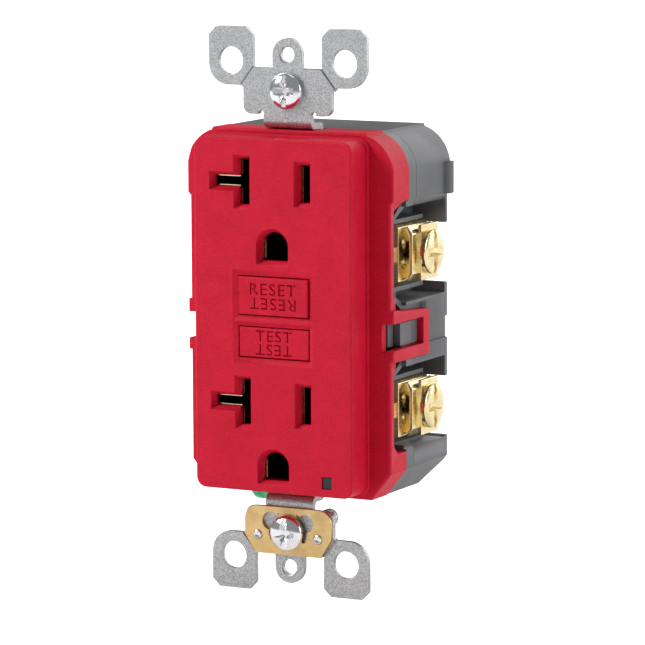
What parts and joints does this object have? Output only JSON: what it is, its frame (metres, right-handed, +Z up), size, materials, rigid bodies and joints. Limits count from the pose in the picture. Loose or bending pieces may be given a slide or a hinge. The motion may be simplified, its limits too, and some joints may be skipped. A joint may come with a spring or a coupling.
{
  "type": "gfci outlet",
  "caption": "Wall receptacle with two grounded outlets, reset and test buttons, side wire clamps and a metal yoke that screws into a one-gang box.",
  "frame": {"origin": "in the plane of the yoke's front, midway between the two box screws and the two wall plate holes", "axes": "+Z up along the yoke, +Y back into the wall box, +X to the right seen from the front; the face looks along -Y"},
  "size_m": [0.0448, 0.0315, 0.1068],
  "materials": {
    "red_plastic": "fine satin grain",
    "grey_plastic": "satin moulded",
    "black_plastic": "matt moulded",
    "dark_lens": "smoked",
    "galvanised_steel": "speckled zinc plating",
    "bright_screw": "bright plated",
    "brass": "bright with light handling marks",
    "silver_terminal": "bright nickel plated",
    "green_screw": "dyed plating",
    "copper": "bare copper alloy",
    "board_green": "solder mask",
    "blue_ceramic": "dipped coating",
    "capacitor_sleeve": "heat-shrunk sleeve",
    "resistor_tan": "lacquered",
    "clear_led": "clear moulded"
  },
  "bodies": {
    "device": {"front_cover": "red_plastic", "indicator_lens": "dark_lens", "middle_frame": "grey_plastic", "rear_housing": "grey_plastic", "mounting_yoke": "galvanised_steel", "grounding_clip": "brass", "clip_rivets": "bright_screw", "screw_retainers": "black_plastic", "terminal_plate_upper_hot": "brass", "terminal_plate_lower_hot": "brass", "terminal_plate_upper_neutral": "silver_terminal", "terminal_plate_lower_neutral": "silver_terminal", "hot_contact_strip": "brass", "neutral_contact_strip": "brass", "ground_contact_upper": "brass", "ground_contact_lower": "brass", "arm_posts": "brass", "reset_spring": "bright_screw", "armature_spring": "bright_screw", "solenoid_frame": "galvanised_steel", "solenoid_bobbin": "black_plastic", "solenoid_coil": "copper", "circuit_board": "board_green", "core_case": "black_plastic", "fault_core": "copper", "neutral_core": "copper", "hot_line_conductor": "copper", "neutral_line_conductor": "silver_terminal", "surge_suppressor": "blue_ceramic", "capacitor": "capacitor_sleeve", "control_chip": "black_plastic", "test_resistor": "resistor_tan", "indicator_led": "clear_led"},
    "reset_button": {"reset_button": "red_plastic", "reset_plunger": "bright_screw"},
    "test_button": {"test_button": "red_plastic"},
    "test_leaf": {"test_leaf": "copper"},
    "latch_block": {"latch_block": "black_plastic"},
    "latch_plate": {"latch_plate": "galvanised_steel"},
    "hot_contact_arm": {"hot_contact_arm": "copper"},
    "neutral_contact_arm": {"neutral_contact_arm": "copper"},
    "armature": {"solenoid_armature": "bright_screw"},
    "box_screw_upper": {"box_screw_upper": "bright_screw"},
    "box_screw_lower": {"box_screw_lower": "bright_screw"},
    "ground_screw": {"ground_screw": "green_screw"},
    "clamp_upper_hot": {"wire_clamp_upper_hot": "brass"},
    "screw_upper_hot": {"terminal_screw_upper_hot": "brass"},
    "clamp_upper_neutral": {"wire_clamp_upper_neutral": "silver_terminal"},
    "screw_upper_neutral": {"terminal_screw_upper_neutral": "silver_terminal"},
    "clamp_lower_hot": {"wire_clamp_lower_hot": "brass"},
    "screw_lower_hot": {"terminal_screw_lower_hot": "brass"},
    "clamp_lower_neutral": {"wire_clamp_lower_neutral": "silver_terminal"},
    "screw_lower_neutral": {"terminal_screw_lower_neutral": "silver_terminal"}
  },
  "joints": [
    {"name": "reset_press", "type": "slide", "parent": "device", "child": "reset_button", "axis": [0, 1, 0], "range_m": [0, 0.0022], "stiffness_N_per_m": 350, "springref_m": -0.001, "deforming": ["reset_spring"]},
    {"name": "test_press", "type": "slide", "parent": "device", "child": "test_button", "axis": [0, 1, 0], "range_m": [0, 0.0016], "stiffness_N_per_m": 250, "springref_m": -0.001},
    {"name": "test_leaf_bend", "type": "hinge", "parent": "device", "child": "test_leaf", "pos_m": [0, 0.0064, -0.0136], "axis": [1, 0, 0], "range_deg": [-12.6, 0]},
    {"name": "armature_pull", "type": "slide", "parent": "device", "child": "armature", "axis": [0, 0, -1], "range_m": [0, 0.0006], "stiffness_N_per_m": 120, "springref_m": -0.002, "deforming": ["armature_spring"]},
    {"name": "block_drop", "type": "slide", "parent": "device", "child": "latch_block", "axis": [0, 1, 0], "range_m": [0, 0.00151]},
    {"name": "latch_slide", "type": "slide", "parent": "latch_block", "child": "latch_plate", "axis": [0, 0, -1], "range_m": [0, 0.00061]},
    {"name": "hot_arm_swing", "type": "hinge", "parent": "device", "child": "hot_contact_arm", "pos_m": [0.0102, 0.01315, -0.0092], "axis": [1, 0, 0], "range_deg": [-5.8, 0]},
    {"name": "neutral_arm_swing", "type": "hinge", "parent": "device", "child": "neutral_contact_arm", "pos_m": [-0.0102, 0.01315, -0.0092], "axis": [1, 0, 0], "range_deg": [-5.8, 0]},
    {"name": "box_screw_upper_turn", "type": "hinge", "parent": "device", "child": "box_screw_upper", "pos_m": [0, 0, 0.04167], "axis": [0, -1, 0], "continuous": true},
    {"name": "box_screw_lower_turn", "type": "hinge", "parent": "device", "child": "box_screw_lower", "pos_m": [0, 0, -0.04167], "axis": [0, -1, 0], "continuous": true},
    {"name": "ground_screw_turn", "type": "hinge", "parent": "device", "child": "ground_screw", "pos_m": [-0.011, 0.012, -0.0341], "axis": [-1, 0, 0], "continuous": true},
    {"name": "clamp_upper_hot_slide", "type": "slide", "parent": "device", "child": "clamp_upper_hot", "axis": [1, 0, 0], "range_m": [0, 0.00198]},
    {"name": "screw_upper_hot_turn", "type": "hinge", "parent": "clamp_upper_hot", "child": "screw_upper_hot", "pos_m": [0.0209, 0.0174, 0.0109], "axis": [1, 0, 0], "range_deg": [0, 900]},
    {"name": "clamp_upper_neutral_slide", "type": "slide", "parent": "device", "child": "clamp_upper_neutral", "axis": [-1, 0, 0], "range_m": [0, 0.00198]},
    {"name": "screw_upper_neutral_turn", "type": "hinge", "parent": "clamp_upper_neutral", "child": "screw_upper_neutral", "pos_m": [-0.0209, 0.0174, 0.0109], "axis": [-1, 0, 0], "range_deg": [0, 900]},
    {"name": "clamp_lower_hot_slide", "type": "slide", "parent": "device", "child": "clamp_lower_hot", "axis": [1, 0, 0], "range_m": [0, 0.00198]},
    {"name": "screw_lower_hot_turn", "type": "hinge", "parent": "clamp_lower_hot", "child": "screw_lower_hot", "pos_m": [0.0209, 0.0174, -0.0185], "axis": [1, 0, 0], "range_deg": [0, 900]},
    {"name": "clamp_lower_neutral_slide", "type": "slide", "parent": "device", "child": "clamp_lower_neutral", "axis": [-1, 0, 0], "range_m": [0, 0.00198]},
    {"name": "screw_lower_neutral_turn", "type": "hinge", "parent": "clamp_lower_neutral", "child": "screw_lower_neutral", "pos_m": [-0.0209, 0.0174, -0.0185], "axis": [-1, 0, 0], "range_deg": [0, 900]}
  ],
  "couplings": [
    {"joint": "test_leaf_bend", "follows": "test_press", "rad_per_m": -135},
    {"joint": "block_drop", "follows": "armature_pull", "ratio": 2.5},
    {"joint": "latch_slide", "follows": "armature_pull", "ratio": 1},
    {"joint": "hot_arm_swing", "follows": "armature_pull", "rad_per_m": -165},
    {"joint": "neutral_arm_swing", "follows": "armature_pull", "rad_per_m": -165},
    {"joint": "screw_upper_hot_turn", "follows": "clamp_upper_hot_slide", "rad_per_m": 7915.8},
    {"joint": "screw_upper_neutral_turn", "follows": "clamp_upper_neutral_slide", "rad_per_m": 7915.8},
    {"joint": "screw_lower_hot_turn", "follows": "clamp_lower_hot_slide", "rad_per_m": 7915.8},
    {"joint": "screw_lower_neutral_turn", "follows": "clamp_lower_neutral_slide", "rad_per_m": 7915.8}
  ]
}
